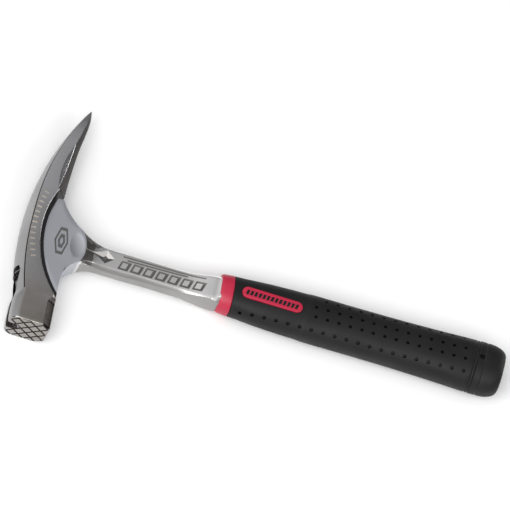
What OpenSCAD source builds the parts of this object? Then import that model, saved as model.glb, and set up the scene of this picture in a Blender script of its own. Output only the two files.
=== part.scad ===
// Roofing hammer with a curved head, a milled face, a nail seat, a spike and a cushioned grip.
// Working frame: X runs along the handle towards the butt, Y from the striking face towards the
// spike, Z across the thickness. place() moves that frame to the part's own origin, which is the
// centre of the bottom of its box as it lies on its side.

/* [Head] */
// Height of the head from the striking face to the spike's tip
head_h = 171.6; // [170.8:0.2:172.4]
// Thickness of the head across its flat side faces
head_t = 27; // [26.5:0.1:27.2]
// Radius of the long curve of the head's back
back_r = 198; // [196:1:202]
// Radius of the crown across the head's back
crown_r = 21.5; // [21:0.5:26]
// Half thickness of the spike where it starts to come to a point
spike_half_t = 8; // [7:0.5:9]

/* [Striking face] */
// Width of the face along the handle's direction
face_w = 27.6; // [27:0.2:28.6]
// Spacing of the milled grooves
land_pitch = 6; // [5:0.5:7]
// Side of the square cutter that mills one groove
groove_cut = 1.1; // [0.8:0.1:1.4]
// Bevel round the edge of the face
face_bevel = 1.6; // [1:0.2:2]
// Width of the nail slot between the two wings of the poll
slot_w = 7.6; // [6:0.2:9]

/* [Nail seat] */
// Height of the magnet's centre above the face
seat_y = 37; // [35:0.5:40]
// Radius of the magnet
magnet_r = 2.4; // [2:0.1:2.8]
// Radius of the groove that holds the nail's shank
nail_groove_r = 1.9; // [1.5:0.1:2.2]

/* [Damping joint] */
// Radius of the head's inner curve, where the black insert starts
insert_r = 73; // [72.5:0.1:73.4]
// Thickness of the insert between head and handle
insert_w = 2.7; // [2.2:0.1:3]
// Width of the insert across its side faces
insert_t = 22; // [20:0.5:24]
// Thickness of the soft lining round the tenon
lining = 1; // [0.8:0.1:1.2]
// Radius of the two pins that hold the tenon
pin_r = 1.5; // [1.2:0.1:1.7]

/* [Handle forging] */
// Thickness of the fan-shaped foot that carries the head
fan_t = 18; // [17:0.5:19]
// Thickness of the shank
shank_t = 11.6; // [11:0.2:13]
// Height of the tang inside the grip
tang_h = 13; // [11:0.5:14]
// Thickness of the tang inside the grip
tang_t = 7; // [6:0.5:8]

/* [Grip] */
// Distance from the middle of the face to the butt end
butt_x = 315.6; // [314:0.2:320]
// Length of the red collar
collar_len = 8.7; // [7:0.1:10]
// Wall of the soft sleeve over the rigid core
sleeve_wall = 3; // [2.5:0.1:3.5]
// Length of the badge plate
badge_len = 41.5; // [36:0.5:44]
// Width of the badge plate
badge_w = 8.3; // [7:0.1:9]

/* [Hidden] */
$fn = 96;

over = 40;                    // reach of a cutter past the solid it cuts
handle_y = 71;                // height of the handle's axis above the face
back_x = -21;                 // outermost point of the head's back
back_cx = back_x + back_r;
face_outer_x = -14.6;         // outer edge of the striking face
face_inner_x = face_outer_x + face_w;
face_mid_x = (face_outer_x + face_inner_x) / 2;

insert_c = [64, 74];          // centre of the insert's curve
ledge_y = 103;                // end of the insert under the spike
fan_top_y = 97.5;             // top corner of the fan
ridge_x = 2.4;                // inner ridge of the spike at the ledge
spike_bevel = 36.2;           // turn of the spike's inner bevels from the ridge
ridge_half_w = 3;             // half width of the flat left along the ridge
taper_y = 80;                 // height where the head starts to thin
point_y = 143;                // height where the spike comes to a point

wing_h = 15;                  // height of the wings above the face
wing_x = -15.6;               // outermost point of the wings
poll_chamfer = 6;             // cut off the poll's inner corners
wing_chamfer = 6;             // cut off the wings' corners

pocket_floor_x = -15.2;
magnet_len = 3;
notch_h = 4.6;                // height of the notch above the magnet's centre
notch_half_w = 9.8;           // half width of the notch where the funnel starts
notch_crown = 0.6;            // rise of the notch's upper edge to its middle
notch_corner = 2;             // run of the notch's upper corners
funnel_low_y = 20;            // height where the funnel runs into the slot
funnel_slope = 9;             // slope of the funnel's floor
funnel_margin = 1;            // how much narrower than the slot the funnel's lower end is

tenon_y = 73;
tenon_h = 27;
tenon_t = 9.6;
tenon_x = -15.6;
pin_x = -12.6;
pin_gap = 18;
pin_depth = 3.5;              // steel left over the blind end of each pin

collar_x = 118.8;
grip_x = collar_x + collar_len;
shank_low_y = 57.5;
shank_top_y = 74.5;
fan_upper_r = 43.3;
fan_upper_x = 40;
fan_lower_r = 19;
fan_edge_x = 11.5;
bevel_x = 28;                 // start of the shank's upper bevels
upper_bevel = 1.6;            // width of the shank's upper bevels
lower_bevel = 2.2;            // width of the shank's lower bevels
lower_bevel_x = 24;           // start of the shank's lower bevels
lower_bevel_run = 16;         // length over which they grow to their full width
tang_end_x = 288;
core_end_x = 300;
badge_x = 153;
badge_y = 69.5;
badge_top_z = 12.7;
badge_t = 2.4;

ring_sides = 40;
roundness = 2.3;              // 2 is an ellipse, more is squarer
grip_drop = 2;                // how far the grip's centre line starts below the handle's axis
grip_rise = 0.016;            // climb of the centre line along the grip

// Distance from the grip's front end, then half height and half thickness there
grip_form = [[0, 13.6, 11.4], [22, 15.6, 12.2], [50, 16.5, 12.5], [82, 16.5, 12.6],
             [112, 16.7, 12.8], [142, 17.4, 13.1], [162, 18.2, 13.4], [174, 18.5, 13.5]];
// The rounded butt: share of the way to the end, and share of the section that is left
butt_form = [[0.45, 0.985], [0.75, 0.93], [0.92, 0.82], [1, 0.66]];

// Moves the working frame to the part's origin
module place() {
    translate([-(back_x + butt_x) / 2, -head_h / 2, head_t / 2]) children();
}

// Runs an outline drawn in Y and Z along X
module along_x(len) {
    rotate([90, 0, 90]) linear_extrude(height = len, center = true) children();
}

// Runs an outline drawn in X and Z along Y
module along_y(len) {
    rotate([90, 0, 0]) linear_extrude(height = len, center = true) children();
}

// Both mirror halves of something drawn on the +Z side
module both_sides() {
    for (s = [0, 1]) mirror([0, 0, s]) children();
}

// ---- Head -------------------------------------------------------------------------------

// Everything the insert and the fan fill inside the head's inner curve
module insert_zone() {
    intersection() {
        translate(insert_c) circle(insert_r);
        translate([-over, -over]) square([3 * over, ledge_y + over]);
    }
}

// The head seen from its side: the back comes from the crowned ring
module head_outline() {
    difference() {
        polygon([[-over, 0], [face_inner_x, 0], [face_inner_x - 1, 28], [ridge_x, ledge_y],
                 [2.9, 118], [4.4, 138], [6.2, 150], [7.2, 158], [7.6, 165], [6.9, head_h],
                 [-over, head_h]]);
        insert_zone();
    }
}

// Section of the head through its back's curve
module crown_section() {
    intersection() {
        translate([back_r - crown_r, 0]) circle(crown_r);
        translate([back_r - over, -head_t / 2]) square([2 * over, head_t]);
    }
}

// Thickness of the head from the face to the tip
module thickness_outline() {
    half = [[-1, head_t / 2], [taper_y, head_t / 2], [point_y, spike_half_t],
            [160, spike_half_t * 0.62], [head_h + 0.5, 0.5]];
    polygon(concat(half, [for (i = [len(half) - 1:-1:0]) [half[i][0], -half[i][1]]]));
}

// The two wings that square out the poll on both sides of the nail slot
module wings() {
    both_sides() translate([0, 0, slot_w / 2])
        linear_extrude(height = (head_t - slot_w) / 2)
            polygon([[face_outer_x, 0], [wing_x, 11], [wing_x + 0.8, wing_h], [wing_x + 3, 19],
                     [-9, 24], [-2, 24], [-2, 0]]);
}

// Grooves milled both ways across the striking face
module face_grooves() {
    translate([face_mid_x, 0, 0]) for (turn = [-45, 45], k = [-2.5:1:2.5])
        rotate([0, turn, 0]) translate([k * land_pitch, 0, 0]) rotate([0, 0, 45])
            cube([groove_cut, groove_cut, 2 * over], center = true);
}

// A flat cutter that takes a bevel off an edge along Z, turned about it
module edge_cut(x, y, turn) {
    translate([x, y, 0]) rotate([0, 0, turn]) translate([0, -over, -over])
        cube([over, 2 * over, 2 * over]);
}

// Bevels round the face and down the poll's inner corners
module poll_bevels() {
    edge_cut(face_outer_x + face_bevel / 2, face_bevel / 2, 225);
    edge_cut(face_inner_x - face_bevel / 2, face_bevel / 2, -45);
    both_sides() translate([0, face_bevel / 2, head_t / 2 - face_bevel / 2])
        rotate([45, 0, 0]) translate([-over, -over, 0]) cube([2 * over, 2 * over, over]);
    both_sides() translate([face_inner_x - poll_chamfer / 2, 0, head_t / 2 - poll_chamfer / 2])
        rotate([0, -45, 0]) translate([0, -1, -over]) cube([over, 30, 2 * over]);
    both_sides() translate([wing_x + wing_chamfer / 2, 0, head_t / 2 - wing_chamfer / 2])
        rotate([0, 225, 0]) translate([0, -1, -over]) cube([over, 25, 2 * over]);
}

// Bevels that run from the spike's inner ridge out to its side faces
module spike_bevels() {
    both_sides() translate([ridge_x, ledge_y, ridge_half_w]) rotate([0, 0, -3.3])
        rotate([0, -spike_bevel, 0]) translate([0, -10, -over])
            cube([over, 2 * over + 10, 2 * over]);
}

// Notch for the nail's head, the funnel under it, the magnet bore and the nail's own groove
module nail_seat() {
    translate([pocket_floor_x - over / 2, seat_y, 0]) along_x(over)
        polygon([[0, -notch_half_w], [notch_h - notch_crown, notch_corner - notch_half_w],
                 [notch_h, 0], [notch_h - notch_crown, notch_half_w - notch_corner],
                 [0, notch_half_w]]);
    translate([pocket_floor_x, seat_y, 0]) rotate([0, 0, funnel_slope])
        translate([-over / 2, 0, 0]) along_x(over)
            polygon([[notch_crown / 2, -notch_half_w], [notch_crown / 2, notch_half_w],
                     [funnel_low_y - seat_y, slot_w / 2 - funnel_margin],
                     [funnel_low_y - seat_y, funnel_margin - slot_w / 2]]);
    magnet_shape();
    intersection() {
        translate([back_cx, handle_y, 0]) rotate_extrude() translate([back_r, 0])
            circle(nail_groove_r);
        translate([-over, -1, -over]) cube([2 * over, seat_y + 1, 2 * over]);
    }
}

module magnet_shape() {
    translate([pocket_floor_x, seat_y, 0]) rotate([0, 90, 0])
        cylinder(h = magnet_len, r = magnet_r);
}

// The tenon of the handle, grown all round for the mortise that takes its lining
module tenon_box(grow) {
    translate([tenon_x - grow, tenon_y - tenon_h / 2 - grow, -tenon_t / 2 - grow])
        cube([20 + grow, tenon_h + 2 * grow, tenon_t + 2 * grow]);
}

// The two blind pins, which go in from the back side
module pin_shapes() {
    for (s = [-1, 1]) translate([pin_x, tenon_y + s * pin_gap / 2, -head_t / 2])
        cylinder(h = head_t - pin_depth, r = pin_r);
}

module head() {
    color([0.62, 0.62, 0.63]) place() difference() {
        union() {
            intersection() {
                translate([back_cx, handle_y, 0]) rotate_extrude() crown_section();
                linear_extrude(height = head_t, center = true) head_outline();
                along_x(3 * over) thickness_outline();
            }
            wings();
        }
        face_grooves();
        poll_bevels();
        spike_bevels();
        nail_seat();
        tenon_box(lining);
        pin_shapes();
    }
}

module nail_magnet() {
    color([0.2, 0.2, 0.22]) place() magnet_shape();
}

// ---- Damping joint ----------------------------------------------------------------------

// The fan-shaped foot of the handle where it lies against the insert
module fan_disc() {
    intersection() {
        translate(insert_c) circle(insert_r - insert_w);
        translate([-over, -over]) square([3 * over, fan_top_y + over]);
    }
}

module damping_insert() {
    color([0.06, 0.05, 0.07]) place() difference() {
        union() {
            linear_extrude(height = insert_t, center = true) difference() {
                intersection() {
                    insert_zone();
                    polygon([[-over, 0], [fan_edge_x, 0], [fan_edge_x, 40], [1.6, fan_top_y],
                             [ridge_x, ledge_y], [-over, ledge_y]]);
                }
                fan_disc();
            }
            intersection() {
                tenon_box(lining);
                linear_extrude(height = insert_t, center = true) difference() {
                    translate([-over, 0]) square([over, 2 * handle_y]);
                    translate(insert_c) circle(insert_r - insert_w / 2);
                }
            }
        }
        tenon_box(0);
        pin_shapes();
        spike_bevels();
    }
}

module head_pins() {
    color([0.5, 0.5, 0.52]) place() pin_shapes();
}

// ---- Handle forging ---------------------------------------------------------------------

// The fan and shank seen from the side
module shank_outline() {
    difference() {
        union() {
            intersection() {
                fan_disc();
                translate([-over, 0]) square([over + fan_upper_x, fan_top_y]);
            }
            polygon([[30, shank_low_y], [90, shank_low_y + 0.4], [106, 58.2], [collar_x, 59.6],
                     [collar_x, 78.8], [106, 76], [90, shank_top_y + 0.4],
                     [30, shank_top_y]]);
        }
        translate([fan_upper_x, shank_top_y + fan_upper_r]) circle(fan_upper_r);
        translate([fan_edge_x + fan_lower_r, shank_low_y - fan_lower_r]) circle(fan_lower_r);
        translate([fan_edge_x, -1]) square([over, shank_low_y - fan_lower_r + 1]);
        translate([fan_edge_x + fan_lower_r, -1]) square([over, shank_low_y + 1]);
    }
}

// Thickness of the forging along the handle
module shank_thickness() {
    half = [[-over, fan_t / 2], [20, fan_t / 2], [34, shank_t / 2 + 0.4], [60, shank_t / 2],
            [92, shank_t / 2 + 0.3], [100, 6.8], [108, 8.4], [collar_x, 9.7]];
    polygon(concat(half, [for (i = [len(half) - 1:-1:0]) [half[i][0], -half[i][1]]]));
}

// Long bevels along the shank's four edges
module shank_bevels() {
    both_sides() hull() for (end = [[lower_bevel_x, 0], [lower_bevel_x + lower_bevel_run, 1],
                                    [collar_x + 1, 1]])
        translate([end[0], shank_low_y + end[1] * lower_bevel, shank_t / 2])
            rotate([135, 0, 0]) cube([1, over, over]);
    both_sides() translate([bevel_x, shank_top_y - upper_bevel, shank_t / 2])
        rotate([45, 0, 0]) cube([over * 3, over, over]);
}

module tang() {
    translate([collar_x - 1, handle_y - tang_h / 2 - 1, -tang_t / 2])
        cube([tang_end_x - collar_x + 1, tang_h, tang_t]);
}

module shank() {
    color([0.66, 0.66, 0.67]) place() union() {
        difference() {
            intersection() {
                linear_extrude(height = fan_t, center = true) shank_outline();
                along_y(6 * over) shank_thickness();
            }
            shank_bevels();
        }
        difference() {
            tenon_box(0);
            pin_shapes();
        }
        tang();
    }
}

// ---- Grip -------------------------------------------------------------------------------

function power(v) = sign(v) * pow(abs(v), 2 / roundness);

// One closed section of the grip
function ring(x, half_h, half_t) = [for (i = [0:ring_sides - 1]) let (a = 360 * i / ring_sides)
    [x, handle_y - grip_drop + grip_rise * (x - collar_x) + half_h * power(cos(a)),
     half_t * power(sin(a))]];

// A solid skinned over a chain of rings, closed at its first and last ring
module ring_chain(rings) {
    n = ring_sides;
    last = (len(rings) - 1) * n;
    polyhedron(points = [for (r = rings) each r], convexity = 6, faces = concat(
        [[for (i = [0:n - 1]) i]],
        [[for (i = [n - 1:-1:0]) last + i]],
        [for (j = [0:len(rings) - 2], i = [0:n - 1]) let (k = (i + 1) % n)
            [j * n + i, (j + 1) * n + k, j * n + k]],
        [for (j = [0:len(rings) - 2], i = [0:n - 1]) let (k = (i + 1) % n)
            [j * n + i, (j + 1) * n + i, (j + 1) * n + k]]));
}

core_rings = concat(
    [for (f = grip_form) if (grip_x + f[0] < core_end_x)
        ring(grip_x + f[0], f[1] - sleeve_wall, f[2] - sleeve_wall)],
    [ring(core_end_x, 12, 8)]);

butt_start = grip_form[len(grip_form) - 1];
butt_from = grip_x + butt_start[0];
outer_rings = concat(
    [for (f = grip_form) ring(grip_x + f[0], f[1], f[2])],
    [for (b = butt_form) ring(butt_from + b[0] * (butt_x - butt_from), butt_start[1] * b[1],
        butt_start[2] * b[1])]);

function reversed(v) = [for (i = [len(v) - 1:-1:0]) v[i]];

// A stadium-shaped plate on the side of the grip
module stadium(low_z, high_z) {
    translate([badge_x, badge_y, low_z]) linear_extrude(height = high_z - low_z) {
        square([badge_len - badge_w, badge_w], center = true);
        for (s = [-1, 1]) translate([s * (badge_len - badge_w) / 2, 0]) circle(badge_w / 2);
    }
}

module grip_core() {
    color([0.16, 0.16, 0.17]) place() difference() {
        ring_chain(core_rings);
        tang();
    }
}

module front_collar() {
    color([0.76, 0.12, 0.24]) place() difference() {
        ring_chain([ring(collar_x, 12.7, 10.8), ring(collar_x + 1, 13.2, 11.2),
                    ring(grip_x, 13.8, 11.6)]);
        tang();
    }
}

module grip_sleeve() {
    color([0.13, 0.13, 0.13]) place() difference() {
        ring_chain(concat(reversed(core_rings), outer_rings));
        both_sides() stadium(badge_top_z - badge_t, badge_top_z + 1);
    }
}

module badge_front() {
    color([0.76, 0.12, 0.24]) place() stadium(badge_top_z - badge_t, badge_top_z);
}

module badge_back() {
    color([0.76, 0.12, 0.24]) place() mirror([0, 0, 1])
        stadium(badge_top_z - badge_t, badge_top_z);
}

head();
nail_magnet();
damping_insert();
head_pins();
shank();
grip_core();
front_collar();
grip_sleeve();
badge_front();
badge_back();
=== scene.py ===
"""Looks of a roofing hammer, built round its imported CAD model.

Shapes are made in millimetres in a working frame: X along the handle towards the butt, Y from the
striking face towards the spike, Z across the thickness with 0 halfway. settle() puts a finished
shape into the model's own frame, in metres.
"""

import math

import bmesh
import bpy
from mathutils import Matrix, Vector


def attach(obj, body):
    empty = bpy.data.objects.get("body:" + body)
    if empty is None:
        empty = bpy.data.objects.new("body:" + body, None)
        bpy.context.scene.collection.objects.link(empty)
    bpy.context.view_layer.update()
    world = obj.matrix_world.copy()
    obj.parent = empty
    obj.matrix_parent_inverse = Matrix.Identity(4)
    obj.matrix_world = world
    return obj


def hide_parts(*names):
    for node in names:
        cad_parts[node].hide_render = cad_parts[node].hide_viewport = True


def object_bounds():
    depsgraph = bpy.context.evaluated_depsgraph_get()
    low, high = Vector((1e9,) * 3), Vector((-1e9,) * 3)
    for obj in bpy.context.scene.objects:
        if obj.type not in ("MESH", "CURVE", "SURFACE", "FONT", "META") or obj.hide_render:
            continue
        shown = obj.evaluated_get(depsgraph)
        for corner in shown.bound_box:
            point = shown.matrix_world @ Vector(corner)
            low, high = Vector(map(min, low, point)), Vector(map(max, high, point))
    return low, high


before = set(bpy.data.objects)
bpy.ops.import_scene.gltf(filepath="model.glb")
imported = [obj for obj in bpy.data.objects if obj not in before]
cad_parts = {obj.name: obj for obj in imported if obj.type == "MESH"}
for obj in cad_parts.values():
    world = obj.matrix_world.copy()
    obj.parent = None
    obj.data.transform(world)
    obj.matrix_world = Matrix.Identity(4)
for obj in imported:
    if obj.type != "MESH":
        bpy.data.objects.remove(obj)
cad_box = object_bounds()

MM = 0.001
BACK_X = -21.0
LOW, HIGH = cad_box
TO_ROW = (Matrix.Translation((LOW.x - BACK_X * MM, LOW.y, (LOW.z + HIGH.z) / 2))
          @ Matrix.Scale(MM, 4))

# ---- Driving dimensions, in millimetres --------------------------------------------------

HANDLE_Y = 71.0
HEAD_H = (HIGH.y - LOW.y) / MM
HALF_T = (HIGH.z - LOW.z) / MM / 2
BUTT_X = BACK_X + (HIGH.x - LOW.x) / MM

BACK_R = 198.0
BACK_CX = BACK_X + BACK_R
CROWN_R = 21.5
INSERT_C = (64.0, 74.0)
INSERT_R = 73.0
INSERT_W = 2.7
LEDGE_Y = 103.0
FAN_TOP_Y = 97.5
RIDGE_X = 2.4

FACE_OUTER_X = -14.6
FACE_INNER_X = 13.0
FACE_MID_X = (FACE_OUTER_X + FACE_INNER_X) / 2
LAND_PITCH = 6.0
SLOT_W = 7.6
WING_X = -15.6
WING_ROUND = 6.0
FACE_ROUND = 1.3
SEAT_Y = 37.0
POCKET_X = -15.2

FAN_EDGE_X = 11.5
LOWER_R = 19.0
LOW_Y = 57.5
UPPER_R = 43.3
UPPER_X = 40.0
TOP_Y = 74.5
LOWER_BEVEL = [(-7, 0.6), (9, 0.8), (16, 1.2), (24, 1.6), (28, 2.0), (33, 2.2), (60, 2.2),
               (92, 2.0), (100, 1.6), (108, 1.7), (112, 2.2), (116, 3.2), (120, 4.2)]
WALL_Z = [(-7, 8.4), (20, 8.0), (29, 5.4), (38, 3.3), (60, 3.3), (92, 4.4), (100, 6.0),
          (112, 8.3), (120, 5.5)]
UPPER_BEVEL = [(-7, 0.5), (15, 0.6), (30, 1.5), (90, 1.6), (110, 2.2), (118, 4.0), (120, 4.2)]
FAN_HALF_T = 9.0
RIM_X = 23.9
RIM_Y = 66.0
RIM_BOW = 0.026

PIN_X = -12.6
PIN_YS = (64, 82)
PIN_RIM_R = 1.85
PIN_RIM_DEPTH = 0.6

COLLAR_X = 118.8
GRIP_X = 127.5
BADGE_AT = (153.0, 69.5)
BADGE_SIZE = (42.0, 7.9)

# Where cutters end, clear of the piece: past the head's back, past a side, and through both
PAST_BACK = -40
PAST_SIDE = 20
PAST_BOTH = 25


# ---- Shape tools ---------------------------------------------------------------------------

def arc(centre, radius, start, end, steps):
    """Points of a circular arc, angles in degrees."""
    turns = [math.radians(start + (end - start) * i / steps) for i in range(steps + 1)]
    return [(centre[0] + radius * math.cos(t), centre[1] + radius * math.sin(t)) for t in turns]


def smooth(points, steps=6):
    """A Catmull-Rom curve through the points."""
    out = []
    for i in range(len(points) - 1):
        a, b = points[max(i - 1, 0)], points[i]
        c, d = points[i + 1], points[min(i + 2, len(points) - 1)]
        for k in range(steps):
            t = k / steps
            out.append(tuple(
                0.5 * (2 * q + (r - p) * t + (2 * p - 5 * q + 4 * r - s) * t * t
                       + (3 * q - p - 3 * r + s) * t ** 3)
                for p, q, r, s in zip(a, b, c, d)))
    return out + [tuple(points[-1])]


def ease(low, high, value):
    """0 below low, 1 above high, and smooth between."""
    t = min(max((value - low) / (high - low), 0.0), 1.0)
    return t * t * (3 - 2 * t)


def sample(table, at):
    """Smooth values between the rows of a table, whose first column is where they hold."""
    rows = smooth(table, 8)
    for low, high in zip(rows, rows[1:]):
        if low[0] <= at <= high[0]:
            k = (at - low[0]) / (high[0] - low[0])
            return [a + (b - a) * k for a, b in zip(low[1:], high[1:])]
    return list(rows[-1][1:] if at > rows[-1][0] else rows[0][1:])


def fillet(before, corner, after, radius, steps=3):
    """Points that round a corner off, always the same number of them."""
    def toward(end):
        length = math.dist(corner, end)
        k = min(radius / max(length, 1e-6), 0.45)
        return [c + (e - c) * k for c, e in zip(corner, end)]
    a, b = toward(before), toward(after)
    out = []
    for i in range(steps + 1):
        t = i / steps
        out.append(tuple((1 - t) ** 2 * p + 2 * t * (1 - t) * q + t * t * r
                         for p, q, r in zip(a, corner, b)))
    return out


def disc(at, radius, height, sides):
    """A short upright cylinder, as a cutter."""
    bm = bmesh.new()
    bmesh.ops.create_cone(bm, cap_ends=True, segments=sides, radius1=radius, radius2=radius,
                          depth=height, matrix=Matrix.Translation(at))
    return make("tool", bm)


def skin(rings, name):
    """A closed solid drawn through rings of points, extruded from one to the next."""
    bm = bmesh.new()
    loop = bmesh.ops.create_circle(bm, segments=len(rings[0]), radius=1.0)["verts"]
    for vert, point in zip(loop, rings[0]):
        vert.co = point
    edges = list(bm.edges)
    bmesh.ops.contextual_create(bm, geom=edges)
    for ring in rings[1:]:
        step = bmesh.ops.extrude_edge_only(bm, edges=edges)["geom"]
        fresh = {v for v in step if isinstance(v, bmesh.types.BMVert)}
        moved = []
        for vert, point in zip(loop, ring):
            twin = next(e.other_vert(vert) for e in vert.link_edges
                        if e.other_vert(vert) in fresh)
            twin.co = point
            moved.append(twin)
        loop = moved
        edges = [e for e in step if isinstance(e, bmesh.types.BMEdge)
                 and e.verts[0] in fresh and e.verts[1] in fresh]
    bmesh.ops.contextual_create(bm, geom=edges)
    return make(name, bm)


def make(name, bm):
    """A Blender object from a bmesh, with its faces turned outwards."""
    bmesh.ops.recalc_face_normals(bm, faces=bm.faces)
    mesh = bpy.data.meshes.new(name)
    bm.to_mesh(mesh)
    bm.free()
    obj = bpy.data.objects.new(name, mesh)
    bpy.context.scene.collection.objects.link(obj)
    return obj


PLANES = {"z": lambda a, b, h: (a, b, h), "x": lambda a, b, h: (h, a, b),
          "y": lambda a, b, h: (a, h, b)}


def prism(outline, along, low, high, name="tool"):
    """An outline extruded along one axis. It is drawn in the two other axes, in X, Y, Z order."""
    bm = bmesh.new()
    at = PLANES[along]
    face = bm.faces.new([bm.verts.new(at(a, b, low)) for a, b in outline])
    grown = bmesh.ops.extrude_face_region(bm, geom=[face])["geom"]
    shift = Vector(at(0, 0, high - low))
    bmesh.ops.translate(bm, vec=shift, verts=[v for v in grown
                                              if isinstance(v, bmesh.types.BMVert)])
    return make(name, bm)


def block(size, matrix, name="tool"):
    """A box of that size, placed by a matrix."""
    bm = bmesh.new()
    bmesh.ops.create_cube(bm, size=1.0)
    bmesh.ops.scale(bm, vec=size, verts=bm.verts)
    bmesh.ops.transform(bm, matrix=matrix, verts=bm.verts)
    return make(name, bm)


def bake(obj):
    """Applies the object's modifiers to its mesh."""
    graph = bpy.context.evaluated_depsgraph_get()
    mesh = bpy.data.meshes.new_from_object(obj.evaluated_get(graph))
    old = obj.data
    obj.modifiers.clear()
    obj.data = mesh
    bpy.data.meshes.remove(old)
    return obj


def in_order(piece):
    """Puts a mesh's points and faces in the order of their places, which a cut leaves open."""
    bm = bmesh.new()
    bm.from_mesh(piece.data)
    for elements, place in ((bm.verts, lambda v: tuple(v.co)),
                            (bm.edges, lambda e: sorted(tuple(v.co) for v in e.verts)),
                            (bm.faces, lambda f: tuple(f.calc_center_median()))):
        rank = {e: i for i, e in enumerate(sorted(elements, key=place))}
        elements.sort(key=lambda e: rank[e])
    bm.to_mesh(piece.data)
    bm.free()
    return piece


def carve(piece, tool, own=False):
    """Cuts a tool out of a piece, and removes the tool. own is for a tool whose parts cross."""
    cut = piece.modifiers.new("carve", "BOOLEAN")
    cut.operation = "DIFFERENCE"
    cut.solver = "EXACT"
    cut.use_self = own
    cut.object = tool
    bpy.context.view_layer.update()
    bake(piece)
    bpy.data.objects.remove(tool)
    return in_order(piece)


def gather(tools, name="tools"):
    """Several tools joined in one mesh, for one cut."""
    bm = bmesh.new()
    for tool in tools:
        bm.from_mesh(tool.data)
        bpy.data.objects.remove(tool)
    mesh = bpy.data.meshes.new(name)
    bm.to_mesh(mesh)
    bm.free()
    obj = bpy.data.objects.new(name, mesh)
    bpy.context.scene.collection.objects.link(obj)
    return obj


def tidy(piece, distance=0.02):
    """Merges points that a cut has left on top of each other."""
    bm = bmesh.new()
    bm.from_mesh(piece.data)
    bmesh.ops.remove_doubles(bm, verts=bm.verts, dist=distance)
    bmesh.ops.dissolve_degenerate(bm, edges=bm.edges, dist=distance)
    bm.to_mesh(piece.data)
    bm.free()
    return piece


def finish_edges(piece, sharp=33):
    """Smooth shading that keeps the edges crisp."""
    for face in piece.data.polygons:
        face.use_smooth = True
    piece.data.set_sharp_from_angle(angle=math.radians(sharp))
    return piece


def soften(piece, width, angle=35, segments=2):
    """Rounds every edge sharper than an angle."""
    edge = piece.modifiers.new("edges", "BEVEL")
    edge.width = width
    edge.segments = segments
    edge.limit_method = "ANGLE"
    edge.angle_limit = math.radians(angle)
    edge.use_clamp_overlap = True
    return bake(piece)


def settle(piece, name, slot, material, *nodes):
    """Puts a finished shape into the model's frame, and says what it is and stands for."""
    piece.data.transform(TO_ROW)
    piece.name = name
    piece.data.name = name
    piece.data.materials.clear()
    piece.data.materials.append(material)
    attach(piece, "root")
    if nodes:
        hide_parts(*nodes)
    return piece


# ---- Materials -----------------------------------------------------------------------------

def new_material(name, color, metallic, roughness):
    material = bpy.data.materials.new(name)
    material.use_nodes = True
    shader = material.node_tree.nodes["Principled BSDF"]
    shader.inputs["Base Color"].default_value = (*color, 1)
    shader.inputs["Metallic"].default_value = metallic
    shader.inputs["Roughness"].default_value = roughness
    return material, material.node_tree, shader


def add(tree, kind, **settings):
    node = tree.nodes.new(kind)
    for key, value in settings.items():
        if key in node.inputs:
            node.inputs[key].default_value = value
        else:
            setattr(node, key, value)
    return node


def object_point(tree, stretch=(1, 1, 1), turn=(0, 0, 0)):
    """Object coordinates, stretched and turned for a grain."""
    point = add(tree, "ShaderNodeTexCoord")
    mapping = add(tree, "ShaderNodeMapping", Scale=stretch, Rotation=turn)
    tree.links.new(point.outputs["Object"], mapping.inputs["Vector"])
    return mapping.outputs["Vector"]


def noise(tree, scale, detail=2.0, stretch=(1, 1, 1), turn=(0, 0, 0)):
    node = add(tree, "ShaderNodeTexNoise", Scale=scale, Detail=detail)
    tree.links.new(object_point(tree, stretch, turn), node.inputs["Vector"])
    return node.outputs["Fac"]


def span(tree, value, low, high, from_low=0.0, from_high=1.0, soft=False):
    """A value mapped from one range to another."""
    node = add(tree, "ShaderNodeMapRange", interpolation_type="SMOOTHSTEP" if soft else "LINEAR")
    node.inputs["From Min"].default_value = from_low
    node.inputs["From Max"].default_value = from_high
    node.inputs["To Min"].default_value = low
    node.inputs["To Max"].default_value = high
    tree.links.new(value, node.inputs["Value"])
    return node.outputs["Result"]


def blend_colors(tree, factor, first, second):
    """Two colours, or a colour's socket, mixed by a factor's socket."""
    node = add(tree, "ShaderNodeMix", data_type="RGBA")
    tree.links.new(factor, node.inputs["Factor"])
    for color, key in ((first, 6), (second, 7)):
        if isinstance(color, tuple):
            node.inputs[key].default_value = (*color, 1)
        else:
            tree.links.new(color, node.inputs[key])
    return node.outputs[2]


def math_node(tree, how, first, second=0.0):
    node = add(tree, "ShaderNodeMath", operation=how)
    for value, key in ((first, 0), (second, 1)):
        if isinstance(value, (int, float)):
            node.inputs[key].default_value = value
        else:
            tree.links.new(value, node.inputs[key])
    return node.outputs[0]


def add_bump(tree, shader, height, strength, distance):
    node = add(tree, "ShaderNodeBump", Strength=strength, Distance=distance)
    tree.links.new(height, node.inputs["Height"])
    tree.links.new(node.outputs["Normal"], shader.inputs["Normal"])


def working_axes(tree):
    """The working frame's X, Y and Z in millimetres, as sockets."""
    point = add(tree, "ShaderNodeTexCoord")
    split = add(tree, "ShaderNodeSeparateXYZ")
    tree.links.new(point.outputs["Object"], split.inputs["Vector"])
    origin = TO_ROW.translation
    return [math_node(tree, "DIVIDE", math_node(tree, "SUBTRACT", split.outputs[i], origin[i]), MM)
            for i in range(3)]


HEAD_GRAIN = (0, 0, math.radians(80))
HANDLE_GRAIN = (0, 0, 0)


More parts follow.
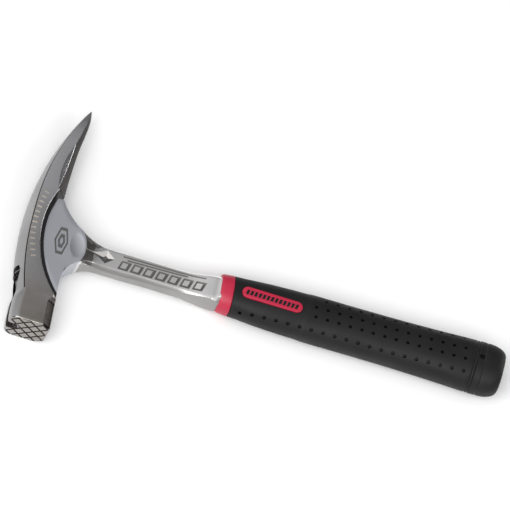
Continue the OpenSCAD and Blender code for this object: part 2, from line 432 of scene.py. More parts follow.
def steel(name, color, low_rough, high_rough, grain_turn, grain=0.25):
    """Ground steel: fine scratches along the grain, cloudy polish, faint blotches."""
    material, tree, shader = new_material(name, color, 1.0, low_rough)
    cloud = noise(tree, 55, 3)
    scratch = noise(tree, 320, 3, stretch=(12, 0.7, 0.7), turn=grain_turn)
    both = math_node(tree, "ADD", math_node(tree, "MULTIPLY", cloud, 0.6),
                     math_node(tree, "MULTIPLY", scratch, 0.4))
    tree.links.new(span(tree, both, low_rough, high_rough, 0.3, 0.7), shader.inputs["Roughness"])
    darker = tuple(c * 0.86 for c in color)
    tree.links.new(blend_colors(tree, span(tree, noise(tree, 28, 4), 0, 1, 0.35, 0.65),
                                color, darker), shader.inputs["Base Color"])
    add_bump(tree, shader, scratch, grain, 0.00002)
    return material, tree, shader


def head_steel():
    """Ground head steel, with a faint brown painted dark reflection down on the poll, and a paler
    painted reflection towards the spike.
    """
    material, tree, shader = steel("forged_head_steel", (0.44, 0.43, 0.435), 0.20, 0.34,
                                   HEAD_GRAIN, 0.12)
    _, y, _ = working_axes(tree)
    # Painted reflection: a faint brownish darkening low on the poll, blotched by noise, as colour.
    low = span(tree, y, 0.75, 0.0, 14.0, 42.0, soft=True)
    painted_poll_reflection = math_node(tree, "MULTIPLY", low, span(tree, noise(tree, 60, 3), 0.5, 1.0, 0.3, 0.7))
    tone = shader.inputs["Base Color"].links[0].from_socket
    # Painted reflection: the tone turns paler from 70 to 112 mm up, towards the spike.
    paler = blend_colors(tree, span(tree, y, 0, 1, 70.0, 112.0, soft=True), tone,
                         (0.60, 0.60, 0.62))
    tree.links.new(blend_colors(tree, painted_poll_reflection, paler, (0.25, 0.225, 0.19)),
                   shader.inputs["Base Color"])
    return material


def crown_shade_steel():
    """Ground steel of the crowned back: darker than the cheeks as painted shade, and a little
    duller.
    """
    return steel("crown_steel_painted_shade", (0.35, 0.345, 0.35), 0.24, 0.38, HEAD_GRAIN)[0]


def tan_steel():
    """The pale tan floors of the shallow bars along the cheek."""
    return steel("stamped_steel", (0.66, 0.60, 0.52), 0.40, 0.50, HANDLE_GRAIN)[0]


def dark_steel():
    """Dark steel: painted shade in the face grooves, the nail seat and the crease; on the inner
    facets forging scale and painted dark reflection together; also the magnet's own dark metal.
    """
    return steel("dark_steel_and_painted_shade", (0.030, 0.026, 0.024), 0.22, 0.38, HANDLE_GRAIN)[0]


def relief_shade_steel():
    """Darker grey steel on the floors of the relief, a painted shade for the recesses, and rougher
    than the shank.
    """
    return steel("relief_floor_painted_shade_steel", (0.20, 0.195, 0.19), 0.40, 0.55, HANDLE_GRAIN)[0]


def handle_steel():
    """Bright polished shank, with a satin fan inside its curved rim."""
    material, tree, shader = steel("forged_handle_steel", (0.78, 0.77, 0.77), 0.14, 0.26,
                                   HANDLE_GRAIN)
    x, y, _ = working_axes(tree)
    off = math_node(tree, "SUBTRACT", y, RIM_Y)
    bow = math_node(tree, "MULTIPLY", math_node(tree, "MULTIPLY", off, off), RIM_BOW)
    bow = math_node(tree, "MINIMUM", bow, 4.2)
    past = math_node(tree, "ADD", math_node(tree, "SUBTRACT", x, RIM_X), bow)
    satin = span(tree, past, 1.0, 0.0, -0.15, 0.15)
    polish = shader.inputs["Roughness"].links[0].from_socket
    dull = math_node(tree, "ADD", math_node(tree, "MULTIPLY", satin, 0.24), polish)
    tree.links.new(dull, shader.inputs["Roughness"])
    tone = shader.inputs["Base Color"].links[0].from_socket
    tree.links.new(blend_colors(tree, satin, tone, (0.50, 0.51, 0.55)),
                   shader.inputs["Base Color"])
    return material


def shadow_steel():
    """Darker steel as painted shade in the hollow and on the slope under the fan."""
    return steel("hollow_painted_shade_steel", (0.26, 0.25, 0.245), 0.18, 0.34, HANDLE_GRAIN)[0]


def lower_wall_shade_steel():
    """Duller ground steel of the shank's long lower bevel, darker than the shank as painted shade.
    """
    return steel("lower_wall_painted_shade_steel", (0.36, 0.355, 0.35), 0.26, 0.38, HANDLE_GRAIN)[0]


def rubber(name, color, rough_low, rough_high, grain_scale, depth):
    """Matt elastomer: a fine moulded grain, with scuffs that change the gloss."""
    material, tree, shader = new_material(name, color, 0.0, rough_high)
    shader.inputs["Specular IOR Level"].default_value = 0.3
    scuff = noise(tree, 90, 5, stretch=(0.5, 1, 1))
    tree.links.new(span(tree, scuff, rough_low, rough_high, 0.35, 0.65),
                   shader.inputs["Roughness"])
    paler = tuple(c * 1.5 for c in color)
    tree.links.new(blend_colors(tree, span(tree, noise(tree, 30, 4), 0, 1, 0.4, 0.7),
                                color, paler), shader.inputs["Base Color"])
    add_bump(tree, shader, noise(tree, grain_scale, 2), 0.35, depth)
    return material


def red_plastic():
    """Semi-gloss moulded plastic with a faint orange-peel surface."""
    crimson, deeper = (0.47, 0.013, 0.048), (0.40, 0.010, 0.040)
    material, tree, shader = new_material("crimson_plastic", crimson, 0.0, 0.36)
    tree.links.new(span(tree, noise(tree, 60, 4), 0.30, 0.44, 0.3, 0.7),
                   shader.inputs["Roughness"])
    tree.links.new(blend_colors(tree, span(tree, noise(tree, 40, 3), 0, 1, 0.3, 0.7),
                                crimson, deeper),
                   shader.inputs["Base Color"])
    add_bump(tree, shader, noise(tree, 1400, 2), 0.2, 0.00002)
    return material


# ---- Head ----------------------------------------------------------------------------------

def half_thickness(y):
    """Half thickness of the head at a height above the face."""
    return min(HALF_T, sample([(-1, HALF_T), (40, HALF_T), (76, HALF_T), (105, 11.7), (143, 8.0),
                               (160, 4.9), (HEAD_H + 0.2, 0.5)], y)[0])


def crown(y, z):
    """X of the crowned back: a circle of CROWN_R swept round the long curve of the back."""
    reach = BACK_R - CROWN_R + math.sqrt(CROWN_R ** 2 - z * z)
    return BACK_CX - math.sqrt(reach ** 2 - (y - HANDLE_Y) ** 2)


def back_face(y, z, t):
    """X of the back, squared out into the poll's wings near the face."""
    square = WING_X + 0.6 * ease(8, 0, y)
    corner = max(abs(z) - (t - WING_ROUND), 0.0)
    square += WING_ROUND - math.sqrt(max(WING_ROUND ** 2 - corner ** 2, 0.0))
    return square + (crown(y, z) - square) * ease(16.5, 25.5, y)


def inner_edge(y):
    """X of the inner edge: down the poll, round the insert's curve, then up the spike."""
    if y < LEDGE_Y:
        return min(FACE_INNER_X - y / 28,
                   INSERT_C[0] - math.sqrt(max(INSERT_R ** 2 - (y - INSERT_C[1]) ** 2, 0.0)))
    return sample([(LEDGE_Y, RIDGE_X), (118, 2.9), (138, 4.4), (150, 6.2), (158, 7.2),
                   (165, 7.6), (HEAD_H, 6.9)], y)[0]


def inner_corners(y, t):
    """Corners between cheek and inner edge, with the rounding of each."""
    x = inner_edge(y)
    if y < LEDGE_Y:
        fade = ease(27, 18, y)
        along, across = 0.7 + 5.0 * fade, 0.7 + 3.8 * fade
        return [((x - along, t), 0.3), ((x - along / 2, t - across / 2), 0.06),
                ((x, t - across), 0.3 + 0.5 * fade)]
    ridge = min(3.0, 0.4 * t)
    slope = 0.73 * (t - ridge)
    leaf = 2.3 * math.sin(math.pi * min(max((y - LEDGE_Y) / 37, 0.0), 1.0)) + 0.05
    cone = ease(136, 144, y)
    return [((x - slope - leaf, t), 0.3 + 3.0 * cone),
            ((x - slope + leaf * 0.45, t - leaf * 0.62), 0.25 + 0.6 * cone),
            ((x, ridge), 0.4 + 0.8 * cone)]


def crease_width(t):
    """Width of the fine groove between the crowned back and the cheek."""
    return min(0.9, 0.12 * t)


def head_ring(y):
    """One level section through the head."""
    t = half_thickness(y)
    crease = crease_width(t)
    widest = t - 1.4 * crease
    heights = [widest * math.sin(math.radians(90 * k / 11)) for k in range(12)]
    back = [(back_face(y, z, t), z) for z in heights]
    edge = back_face(y, t, t)
    cut = 0.4 * ease(17, 22, y) * ease(165, 150, y)
    for share in (1.0, 0.55, 0.1):
        z = t - crease * share
        back.append((back_face(y, z, t) + (cut if share == 0.55 else 0.0), z))
    reach = inner_edge(y) - edge
    corners = [((edge, t), min(0.18, reach / 4))] + inner_corners(y, t)
    inner = (inner_edge(y), 0.0)
    points = [back[-1]] + [c for c, r in corners] + [inner]
    half = list(back)
    for i, (corner, r) in enumerate(corners):
        half += fillet(points[i], corner, points[i + 2], r)
    half.append(inner)
    whole = half + [(x, -z) for x, z in reversed(half[1:-1])]
    trim = FACE_ROUND - math.sqrt(max(FACE_ROUND ** 2 - max(FACE_ROUND - y, 0.0) ** 2, 0.0))
    keep = 1 - trim / HALF_T
    return [Vector((FACE_MID_X + (x - FACE_MID_X) * keep, y, z * keep)) for x, z in whole]


def head_levels():
    """Heights of the sections, closest where the shape changes fastest."""
    levels = [0, 0.12, 0.4, 0.8, FACE_ROUND, 3, 5, 8, 11, 14]
    levels += [15.5 + k for k in range(13)]
    levels += [30 + 2.5 * k for k in range(29)]
    levels += [LEDGE_Y + k for k in (-0.6, -0.2, -0.01, 0.01, 0.2, 0.6)]
    levels += [LEDGE_Y + 1.2 + 1.3 * k for k in range(44)]
    levels += [161.5 + 1.1 * k for k in range(9)]
    return levels + [HEAD_H]


def face_grooves():
    """Bars that mill the crossed grooves into the striking face. Their lengths differ, so no
    two parallel bars end in one plane."""
    count, width, shortest = 6, 0.95, 70
    bars = []
    for turn in (-45, 45):
        for k in range(count):
            matrix = (Matrix.Translation((FACE_MID_X, 0, 0))
                      @ Matrix.Rotation(math.radians(turn), 4, "Y")
                      @ Matrix.Translation(((k - (count - 1) / 2) * LAND_PITCH, 0, 0))
                      @ Matrix.Rotation(math.radians(45), 4, "Z"))
            bars.append(block((width, width, shortest + k), matrix))
    return bars


def nail_slot():
    """The slot between the wings, with the head's back as its floor."""
    floor = [(crown(y, 0) + 0.4, y) for y in range(-1, 26, 2)]
    outline = [(PAST_BACK, -1)] + floor + [(PAST_BACK, floor[-1][1])]
    return prism(outline, "z", -SLOT_W / 2, SLOT_W / 2)


def nail_groove():
    """The groove that a held nail's shank lies in, down the middle of the back."""
    radius, sides = 1.9, 20
    rings = []
    for y in range(-2, 39, 2):
        x = crown(y, 0)
        rings.append([Vector((x + radius * math.cos(a), y, radius * math.sin(a)))
                      for a in (math.radians(360 * k / sides) for k in range(sides))])
    return skin(rings, "tool")


def seat_pocket():
    """The notch over the magnet, and the funnel that runs from it down to the slot."""
    half = [(SEAT_Y + 4.6, 0), (SEAT_Y + 4.0, 7.8), (SEAT_Y + 0.3, 9.8)]
    notch = prism(half + [(a, -b) for a, b in reversed(half[1:])], "x",
                  PAST_BACK, POCKET_X - 0.6)
    rings = []
    for y, half_w, floor in ((19.0, 2.9, -12.6), (SEAT_Y - 0.1, 9.5, POCKET_X)):
        corners = ((floor, -half_w), (floor, half_w), (PAST_BACK, half_w), (PAST_BACK, -half_w))
        rings.append([Vector((x, y, z)) for x, z in corners])
    return [notch, skin(rings, "tool")]


def pin_rims():
    """The narrow rings left open round the ends of the two pins."""
    return [disc((PIN_X, y, -HALF_T), PIN_RIM_R, 2 * PIN_RIM_DEPTH, 24) for y in PIN_YS]


def cheek_ticks():
    """A row of short plain bars, pressed shallowly along the cheek."""
    count, first_y, pitch, size = 13, 48, 4.1, (3.4, 1.1, 0.3)
    row_r = INSERT_R + 5.6
    bars = []
    for k in range(count):
        y = first_y + pitch * k
        x = INSERT_C[0] - math.sqrt(row_r ** 2 - (y - INSERT_C[1]) ** 2)
        t = half_thickness(y)
        lean = math.atan2(y - INSERT_C[1], -(x - INSERT_C[0]))
        turn = (Matrix.Translation((x, y, t)) @ Matrix.Rotation(-lean, 4, "Z"))
        for side in (1, -1):
            flip = Matrix.Scale(side, 4, (0, 0, 1))
            bars.append(block(size, flip @ turn))
    return bars


def build_head(steels):
    head = skin([head_ring(y) for y in head_levels()], "hammer_head")
    tools = face_grooves() + [nail_slot(), nail_groove()] + seat_pocket()
    carve(head, gather(tools), own=True)
    carve(head, gather(pin_rims()))
    carve(head, gather(cheek_ticks()))
    finish_edges(tidy(head, 0.008))
    settle(head, "hammer_head", "head_steel", steels[0], "head")
    finish_head_faces(head, *steels[1:])


def on_face_groove(x, y, z, normal):
    """True on the walls of the grooves milled into the striking face."""
    inside = abs(z) < HALF_T - 1.0 and FACE_OUTER_X + 1 < x < FACE_INNER_X - 1
    return inside and 0.05 < y < 1.0 and abs(normal.y) < 0.85


def on_crease(y, z, normal):
    """True in the fine groove between the crowned back and a cheek."""
    t = half_thickness(y)
    inside = 0.15 < (t - abs(z)) / crease_width(t) < 0.95
    return inside and 24 < y < 158 and -0.97 < normal.x < -0.2


def on_inner_facet(y, normal):
    """True on the inner corners of the poll and on the bevels inside the spike."""
    if abs(normal.y) >= 0.6:
        return False
    return y < 19.5 and normal.x > 0.5 or y > LEDGE_Y + 0.3 and normal.x > 0.7


def in_nail_seat(x, y, z):
    """True on the walls of the notch and the funnel."""
    return 19 < y < 42 and abs(z) < 9.9 and crown(y, z) + 0.15 < x < -9


def on_cheek_bar(x, y, z, normal):
    """True on the floors of the shallow bars along the cheeks."""
    level = abs(normal.z) > 0.95 and 0.05 < half_thickness(y) - abs(z) < 0.5
    return level and 46 < y < 100 and x < -5


def finish_head_faces(head, dark, tan, crown_shade_metal):
    """Gives the face grooves, the nail seat and the crease the dark steel as painted shade, the
    inner facets the same dark steel as forging scale and painted dark reflection, the bars the tan
    one, and the faces turned to the back the crown's darker steel as painted shade."""
    shade_and_scale_slot, tan_slot, crown_shade_slot = 1, 2, 3
    for material in (dark, tan, crown_shade_metal):
        head.data.materials.append(material)
    local = TO_ROW.inverted()
    for face in head.data.polygons:
        x, y, z = local @ face.center
        normal = face.normal
        if on_cheek_bar(x, y, z, normal):
            face.material_index = tan_slot
        # Painted shade in the face grooves, the nail seat and the crease; dark scale and painted
        # dark reflection on the inner facets.
        elif (on_face_groove(x, y, z, normal) or in_nail_seat(x, y, z)
              or on_crease(y, z, normal) or on_inner_facet(y, normal)):
            face.material_index = shade_and_scale_slot
        # Painted shade: faces turned to the back get the darker crown steel.
        elif normal.x < -0.25:
            face.material_index = crown_shade_slot


# ---- Handle forging ------------------------------------------------------------------------

def edge_heights(x):
    """Lower and upper edge of the fan and shank at a place along the handle."""
    chord = math.sqrt(max((INSERT_R - INSERT_W) ** 2 - (x - INSERT_C[0]) ** 2, 0.0))
    if x < FAN_EDGE_X:
        low = INSERT_C[1] - chord
    elif x < FAN_EDGE_X + LOWER_R:
        low = LOW_Y - LOWER_R + math.sqrt(LOWER_R ** 2 - (x - FAN_EDGE_X - LOWER_R) ** 2)
    else:
        low = sample([(30, LOW_Y), (42, 57.3), (55, 57.4), (67, 58.0), (84, 58.3), (92, 58.5),
                      (108, 58.6), (114, 58.3), (120, 57.7)], x)[0]
    if x < UPPER_X:
        curve = TOP_Y + UPPER_R - math.sqrt(max(UPPER_R ** 2 - (x - UPPER_X) ** 2, 0.0))
        high = min(FAN_TOP_Y, INSERT_C[1] + chord, curve)
    else:
        high = sample([(UPPER_X, TOP_Y), (90, 74.9), (100, 75.4), (110, 77.0), (120, 79.4)], x)[0]
    return low, high


def surface_z(x):
    """Half thickness of the forging at a place along the handle."""
    if x < RIM_X:
        return FAN_HALF_T
    return sample([(RIM_X, FAN_HALF_T), (27.5, 7.7), (34, 6.3), (45, 5.8), (80, 5.8), (92, 6.0),
                   (100, 6.7), (108, 8.2), (113, 8.9), (116, 9.1), (COLLAR_X + 0.4, 9.9)], x)[0]


def bowed(u, y):
    """X of a section line, bowed like the fan's rim near it."""
    return u - RIM_BOW * (y - RIM_Y) ** 2 * ease(12, RIM_X - 1, u) * ease(70, RIM_X + 8, u)


def shank_ring(u):
    """One section across the forging, with its long bevels."""
    low, high = edge_heights(u)
    for _ in range(4):
        low, high = edge_heights(bowed(u, low))[0], edge_heights(bowed(u, high))[1]
    z = surface_z(u)
    room = 0.3 * (high - low)
    lower = min(sample(LOWER_BEVEL, u)[0], room)
    upper = min(sample(UPPER_BEVEL, u)[0], room)
    wall = min(sample(WALL_Z, u)[0], z - 0.35)
    corners = [(low, wall), (low + lower, z),
               (high - upper, z), (high, z - 1.1 * upper)]
    around = [(low, 0.0)] + corners + [(high, 0.0)]
    half = []
    for i, corner in enumerate(corners):
        half += fillet(around[i], corner, around[i + 2], 0.3, 2)
        if i == 1:
            first, last = half[-1], (high - upper - 0.4, z)
            half += [(first[0] + (last[0] - first[0]) * k / 10, z) for k in range(1, 10)]
    loop = half + [(y, -h) for y, h in reversed(half)]
    return [Vector((bowed(u, y), y, h)) for y, h in loop]


def shank_places():
    """Where the sections are taken, closest where the shape changes fastest."""
    places = [-6.29, -6.22, -6.05, -5.7, -5.2, -4.5, -3.7, -3.0, -2.26, -2.24, -1, 0.4, 1.74,
              1.76, 3, 5, 7, 9, FAN_EDGE_X - 0.01, FAN_EDGE_X + 0.01, 11.6, 11.9, 12.5, 13.3,
              14.3, 15.5, 17, 19, 21, 22.6, RIM_X - 0.35, RIM_X - 0.1, RIM_X + 0.1]
    places += [RIM_X + 0.5 + 0.8 * k for k in range(20)]
    places += [41 + 3 * k for k in range(22)]
    return places + [105.5 + 0.8 * k for k in range(17)] + [COLLAR_X + 0.4]


def dish(side):
    """The shallow oval facet at the foot of the fan."""
    bm = bmesh.new()
    bmesh.ops.create_uvsphere(bm, u_segments=64, v_segments=48, radius=1.0)
    half_size, above = (12.5, 22.5, 9.0), 8.25
    bmesh.ops.scale(bm, vec=half_size, verts=bm.verts)
    matrix = Matrix.Translation((17.6, 67.5, side * (FAN_HALF_T + above)))
    bmesh.ops.transform(bm, matrix=matrix @ Matrix.Rotation(math.radians(8), 4, "Z"),
                        verts=bm.verts)
    return make("tool", bm)


def slanted(x, y, length, height, lean=2.2):
    """A leaning rectangle."""
    return [(x, y), (x + length, y), (x + length + lean, y + height), (x + lean, y + height)]


def relief_frames(side):
    """Cutters for a row of leaning frames along the shank."""
    count, first_x, pitch, depth = 7, 47.5, 8.6, 0.6
    tools = []
    for k in range(count):
        x = first_x + pitch * k
        y = 61.0 + 0.02 * (x - 47)
        floor = side * (surface_z(x + 4) - depth)
        frame_cut = prism(slanted(x, y, 7.0, 7.0), "z", *sorted((floor, side * PAST_SIDE)))
        inside = prism(slanted(x + 1.7, y + 1.4, 3.8, 4.2, 1.2), "z", -PAST_BOTH, PAST_BOTH)
        tools.append(carve(frame_cut, inside))
    return tools


def hollow(side):
    """The four-sided hollow at the head's end of the shank."""
    bm = bmesh.new()
    bmesh.ops.create_cone(bm, cap_ends=True, segments=4, radius1=1.6, radius2=15.0, depth=5.2)
    turn = Matrix.Diagonal((1.12, 0.9, side, 1.0))
    bmesh.ops.transform(bm, matrix=Matrix.Translation((38.5, 67.0, side * (surface_z(38) + 1.0)))
                        @ turn, verts=bm.verts)
    return make("tool", bm)


def long_grooves(side):
    """Cutters for the two long grooves above the row of frames."""
    tools = []
    for first, last, low, high in ((50, 107, 71.0, 72.2), (53, 95, 69.0, 70.4)):
        rings = []
        steps = 24
        for k in range(steps + 1):
            x = first + (last - first) * k / steps
            y = low + (high - low) * k / steps
            z = surface_z(x)
            rings.append([Vector((x, y + dy, side * (z + dz)))
                          for dy, dz in ((-0.65, 0.4), (-0.4, -0.5), (0.4, -0.5), (0.65, 0.4))])
        tools.append(skin(rings, "tool"))
    return tools


def fan_emblem(side):
    """Cutters for two plain six-sided outlines on the fan, one inside the other."""
    depth = 0.55
    floor = sorted((side * (FAN_HALF_T - depth), side * PAST_SIDE))
    outer = [(1.6, 66.8), (4.2, 57.0), (8.8, 57.0), (11.2, 66.8), (8.8, 77.4), (4.2, 77.4)]
    centre = Vector((6.5, 67.0))
    tools = []
    for large, small in ((1.0, 0.76), (0.52, 0.24)):
        rings = [[tuple(centre + (Vector(p) - centre) * k) for p in outer] for k in (large, small)]
        ring = prism(rings[0], "z", *floor)
        tools.append(carve(ring, prism(rings[1], "z", -PAST_BOTH, PAST_BOTH)))
    return tools


def build_shank(steels):
    shank = skin([shank_ring(u) for u in shank_places()], "handle_forging")
    for side in (-1, 1):
        carve(shank, dish(side))
        carve(shank, hollow(side))
    tools = []
    for side in (-1, 1):
        tools += relief_frames(side) + long_grooves(side) + fan_emblem(side)
    carve(shank, gather(tools))
    finish_edges(tidy(shank), 24)
    settle(shank, "handle_forging", "shank_steel", steels[0], "shank")
    finish_shank_faces(shank, *steels[1:])


def on_relief_floor(x, y, z, normal):
    """True on the floors of the emblem, the frames and the long grooves."""
    sunk = abs(normal.z) > 0.9 and abs(z) < surface_z(x) - 0.22
    return sunk and (x < 12 and 56 < y < 79 or 41 < x < 109 and y > 60.5)


def on_lower_wall(x, y, normal):
    """True on the shank's lower wall, and past the fan on the bevel above it too."""
    return x > 16 and y < 66 and normal.y < (-0.9 if x < 30 else -0.35)


def in_shadow(x, y, z, normal):
    """True in the four-sided hollow and on the slope that leads down to it from the fan."""
    sunk = abs(z) < surface_z(x) - 0.12 or normal.y < -0.3
    hollow_side = 23 < x < 47 and 61.5 < y < 73 and sunk
    slope = RIM_X - 3 < x < 30 and y < 71 and 0.5 < abs(normal.z) < 0.975 and normal.x > 0.2
    return hollow_side or slope


def finish_shank_faces(shank, dull, side, shadow):
    """Gives the relief floors, the lower wall and the hollow darker steels, as painted shade."""
    relief_shade_slot, lower_wall_shade_slot, shadow_slot = 1, 2, 3
    for material in (dull, side, shadow):
        shank.data.materials.append(material)
    local = TO_ROW.inverted()
    for face in shank.data.polygons:
        x, y, z = local @ face.center
        normal = face.normal
        # Painted shade in the four-sided hollow and on the slope that leads down to it.
        if in_shadow(x, y, z, normal):
            face.material_index = shadow_slot
        # Painted shade: the lower wall, and past the fan the bevel above it, get the darker steel.
        elif on_lower_wall(x, y, normal):
            face.material_index = lower_wall_shade_slot
        # Painted shade: the sunk floors of the relief get the darker steel.
        elif on_relief_floor(x, y, z, normal):
            face.material_index = relief_shade_slot


# ---- Grip ----------------------------------------------------------------------------------

SIDES = 96
GRIP_FORM = [(0, 13.6, 11.4), (22, 15.6, 12.2), (50, 16.5, 12.5), (82, 16.5, 12.6),
             (112, 16.7, 12.8), (142, 17.4, 13.1), (162, 18.2, 13.4), (174, 18.5, 13.5)]
BUTT_FROM = GRIP_X + GRIP_FORM[-1][0]
ROUNDNESS = 2.3

# Rows of dimples: places along the grip with the angle from its top that a row runs through,
# then how many dimples it has and their radius
ROWS = [([(134.5, 156), (144, 146), (160, 139), (195, 134), (240, 134), (289, 124)], 20, 1.35),
        ([(184, 100), (236, 99), (288, 96)], 14, 1.2),
        ([(183, 80), (234, 79), (287, 76)], 14, 1.2),
        ([(189, 54), (237, 49), (285, 38)], 13, 1.2)]


def grip_centre(x):
    return HANDLE_Y - 2 + 0.016 * (x - COLLAR_X)


def oval(x, half_h, half_t, angle):
    """A point of the grip's section, by its angle from the top. The sections near the collar
    lean forward at the top."""
    c, s = math.cos(angle), math.sin(angle)
    across = math.copysign(abs(c) ** (2 / ROUNDNESS), c)
    outward = math.copysign(abs(s) ** (2 / ROUNDNESS), s)
    return Vector((x - (1 + c) * ease(GRIP_X + 22, GRIP_X, x),
                   grip_centre(x) + half_h * across, half_t * outward))


def grip_ring(x, half_h, half_t):
    """Points of one oval section of the grip."""
    return [oval(x, half_h, half_t, 2 * math.pi * i / SIDES) for i in range(SIDES)]


def grip_half(x):
    """Half height and half thickness of the grip, with its grooves and its step."""
    h, t = sample([(GRIP_X + a, b, c) for a, b, c in GRIP_FORM], x)
    lines = [centre + 1.9 * k for centre in (294.5, 303.6) for k in (-1, 0, 1)]
    dip = max(0.55 * math.exp(-((x - line) / 0.42) ** 2) for line in lines)
    dip += 0.3 * ease(179, 176, x) * ease(GRIP_X, GRIP_X + 8, x)
    return h - dip, t - dip


def sleeve_places():
    places = [GRIP_X + 0.25, GRIP_X + 0.9]
    while places[-1] < BUTT_FROM - 0.3:
        near_step = 174 < places[-1] < 181
        near_lines = 291.4 < places[-1] < 306.6
        places.append(places[-1] + (0.22 if near_lines else 0.6 if near_step else 2.5))
    return places[:-1] + [BUTT_FROM]


def build_sleeve_body():
    rings = [grip_ring(GRIP_X, 13.1, 10.9)]
    rings += [grip_ring(x, *grip_half(x)) for x in sleeve_places()]
    length = BUTT_X - BUTT_FROM
    h, t = GRIP_FORM[-1][1:]
    for k in range(1, 13):
        a = math.radians(90 * k / 12)
        shrink = 1 - 0.34 * (1 - math.cos(a)) ** 1.1
        rings.append(grip_ring(BUTT_FROM + length * math.sin(a), h * shrink, t * shrink))
    return skin(rings, "soft_grip")


def dimple(x, degrees, side, radius):
    """A cutter for one round dimple, square to the grip's surface."""
    h, t = grip_half(x)
    a = math.radians(degrees)
    at = oval(x, h, t, a)
    ahead = oval(x, h, t, a + 0.02) - oval(x, h, t, a - 0.02)
    out = Vector((0, -ahead.z, ahead.y))
    if out.z * at.z + out.y * (at.y - grip_centre(x)) < 0:
        out = -out
    at.z *= side
    out.z *= side
    turn = out.to_track_quat("Z", "Y").to_matrix().to_4x4()
    bm = bmesh.new()
    bmesh.ops.create_cone(bm, cap_ends=True, segments=16, radius1=radius * 0.85,
                          radius2=radius * 1.15, depth=5.0, matrix=Matrix.Translation(at) @ turn)
    return make("tool", bm)


def dimples():
    tools = []
    for side in (-1, 1):
        for line, count, radius in ROWS:
            for k in range(count):
                x = line[0][0] + (line[-1][0] - line[0][0]) * k / (count - 1)
                tools.append(dimple(x, sample(line, x)[0], side, radius))
        tools.append(dimple(298.9, 85, side, 1.9))
    return tools


def stadium(length, width, steps=12):
    """A rounded bar's outline, centred on the badge."""
    r, reach = width / 2, (length - width) / 2
    x, y = BADGE_AT
    return arc((x + reach, y), r, -90, 90, steps) + arc((x - reach, y), r, 90, 270, steps)


def build_sleeve(material):
    sleeve = build_sleeve_body()
    carve(sleeve, gather(dimples()))
    for side in (-1, 1):
        pocket = prism(stadium(BADGE_SIZE[0] + 0.5, BADGE_SIZE[1] + 0.5), "z",
                       *sorted((side * 11.0, side * 16)))
        carve(sleeve, pocket)
    finish_edges(tidy(sleeve), 38)
    return settle(sleeve, "soft_grip", "grip_rubber", material, "grip_sleeve")


def build_collar(material):
    form = [(COLLAR_X, 11.4, 9.5), (COLLAR_X + 0.1, 12.2, 10.3), (COLLAR_X + 0.45, 12.6, 10.7),
            (COLLAR_X + 1.2, 12.85, 10.9), (COLLAR_X + 2.2, 13.1, 11.1),
            (GRIP_X - 0.9, 13.75, 11.55), (GRIP_X - 0.35, 13.7, 11.5), (GRIP_X, 13.3, 11.1)]
    collar = skin([grip_ring(*row) for row in form], "red_collar")
    finish_edges(collar, 50)
    return settle(collar, "red_collar", "red_plastic", material, "front_collar")


def build_badge(name, node, side, material):
    """A raised plate with a dished field, where a row of plain bars stands."""
    plate = prism(stadium(BADGE_SIZE[0], BADGE_SIZE[1]), "z", *sorted((side * 10.3, side * 12.7)))
    field = prism(stadium(BADGE_SIZE[0] - 2.0, BADGE_SIZE[1] - 2.0), "z",
                  *sorted((side * 12.45, side * 14)))
    soften(plate, 0.35)
    carve(plate, field)
    finish_edges(plate, 40)
    return settle(plate, name, "red_plastic", material, node)


def build_badge_bars(material):
    """The plain dark bars on both badges."""
    count, pitch, width, height = 13, 2.85, 1.9, 3.4
    first_x = BADGE_AT[0] - 18.6
    tools = []
    for side in (-1, 1):
        for k in range(count):
            x = first_x + pitch * k
            outline = slanted(x, BADGE_AT[1] - height / 2, width, height, 0.8)
            bar = prism(outline, "z", *sorted((side * 12.3, side * 12.68)))
            tools.append(soften(bar, 0.1))
    bars = gather(tools, "badge_bars")
    finish_edges(bars, 40)
    return settle(bars, "badge_bars", "grip_rubber", material)


# ---- Stage ---------------------------------------------------------------------------------

def aim(obj, target):
    """Turns a light so that it shines at a point."""
    obj.rotation_euler = (Vector(target) - obj.location).to_track_quat("-Z", "Y").to_euler()


def soft_box(name, location, target, size, power):
    data = bpy.data.lights.new(name, "AREA")
    data.shape = "RECTANGLE"
    data.size, data.size_y = size
    data.energy = power
    lamp = bpy.data.objects.new(name, data)
    bpy.context.scene.collection.objects.link(lamp)
    lamp.location = location
    aim(lamp, target)
    return lamp


def direction_world():
    """Soft studio surroundings: bright from the front and left, dim from the far right."""
    world = bpy.data.worlds.new("studio")
    bpy.context.scene.world = world
    world.use_nodes = True
    tree = world.node_tree
    point = add(tree, "ShaderNodeTexCoord")
    dot = add(tree, "ShaderNodeVectorMath", operation="DOT_PRODUCT")
    tree.links.new(point.outputs["Generated"], dot.inputs[0])
    dot.inputs[1].default_value = (-0.75, -0.35, 0.55)
    level = span(tree, dot.outputs["Value"], 0.10, 0.95, -0.45, 0.95, soft=True)
    tree.links.new(level, tree.nodes["Background"].inputs["Strength"])
    tree.nodes["Background"].inputs["Color"].default_value = (1, 1, 1, 1)


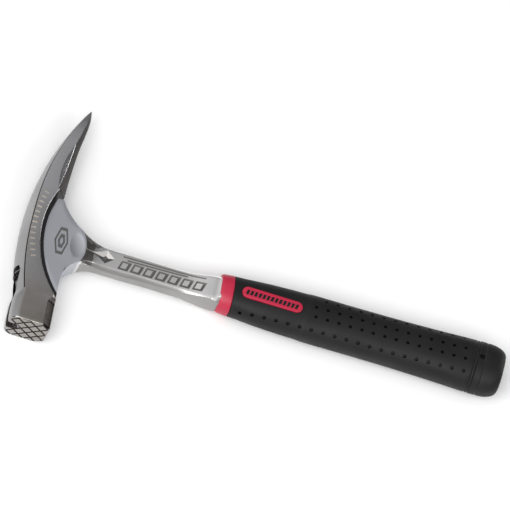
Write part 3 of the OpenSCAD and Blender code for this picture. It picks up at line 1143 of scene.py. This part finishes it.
def build_stage():
    bm = bmesh.new()
    bmesh.ops.create_grid(bm, x_segments=8, y_segments=8, size=4.0)
    bmesh.ops.translate(bm, vec=(0, 0, LOW.z - 0.0002), verts=bm.verts)
    floor = make("studio_floor", bm)
    material, _, shader = new_material("studio_paper", (0.93, 0.93, 0.93), 0.0, 0.9)
    shader.inputs["Specular IOR Level"].default_value = 0.0
    floor.data.materials.append(material)
    direction_world()
    soft_box("key_light", (-0.5, -0.75, 1.05), (-0.05, 0, 0), (1.0, 1.0), 11)
    soft_box("fill_light", (0.75, -0.55, 1.0), (0.05, 0, 0), (1.0, 0.8), 6)
    soft_box("side_light", (1.1, 0.62, 0.33), (-0.1, 0, 0.01), (0.35, 0.30), 2.0)
    bpy.context.scene.view_settings.view_transform = "Standard"


def build_camera():
    """Looks down on the lying hammer from the face's side, rolled so the handle falls right."""
    right = Vector((0.9496, 0.2053, 0.2365)).normalized()
    up = Vector((-0.2907, 0.8580, 0.4225))
    up = (up - right * up.dot(right)).normalized()
    back = right.cross(up)
    target = TO_ROW @ Vector((136.1, 104.4, 0))
    distance, view_width = 15.0, 0.340
    data = bpy.data.cameras.new("camera")
    camera = bpy.data.objects.new("camera", data)
    bpy.context.scene.collection.objects.link(camera)
    turn = Matrix((right, up, back)).transposed().to_4x4()
    camera.matrix_world = Matrix.Translation(target + back * distance) @ turn
    data.sensor_width = 36
    data.lens = 36 * distance / view_width
    data.clip_end = 100
    bpy.context.scene.camera = camera


build_stage()
build_camera()
head_metal = head_steel()
dark_metal = dark_steel()
relief_shade_metal = relief_shade_steel()
handle_metal = handle_steel()
black_grip = rubber("black_soft_grip", (0.0048, 0.0045, 0.0046), 0.46, 0.62, 1500, 0.00006)
black_band = rubber("black_elastomer", (0.006, 0.0055, 0.0065), 0.35, 0.5, 1500, 0.00002)
crimson = red_plastic()
build_head((head_metal, dark_metal, tan_steel(), crown_shade_steel()))
build_shank((handle_metal, relief_shade_metal, lower_wall_shade_steel(), shadow_steel()))
build_sleeve(black_grip)
build_collar(crimson)
build_badge("badge_plate_front", "badge_front", 1, crimson)
build_badge("badge_plate_back", "badge_back", -1, crimson)
build_badge_bars(black_band)
for node, material in (("damping_insert", black_band), ("nail_magnet", dark_metal),
                       ("head_pins", head_metal), ("grip_core", black_grip)):
    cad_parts[node].data.materials.clear()
    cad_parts[node].data.materials.append(material)
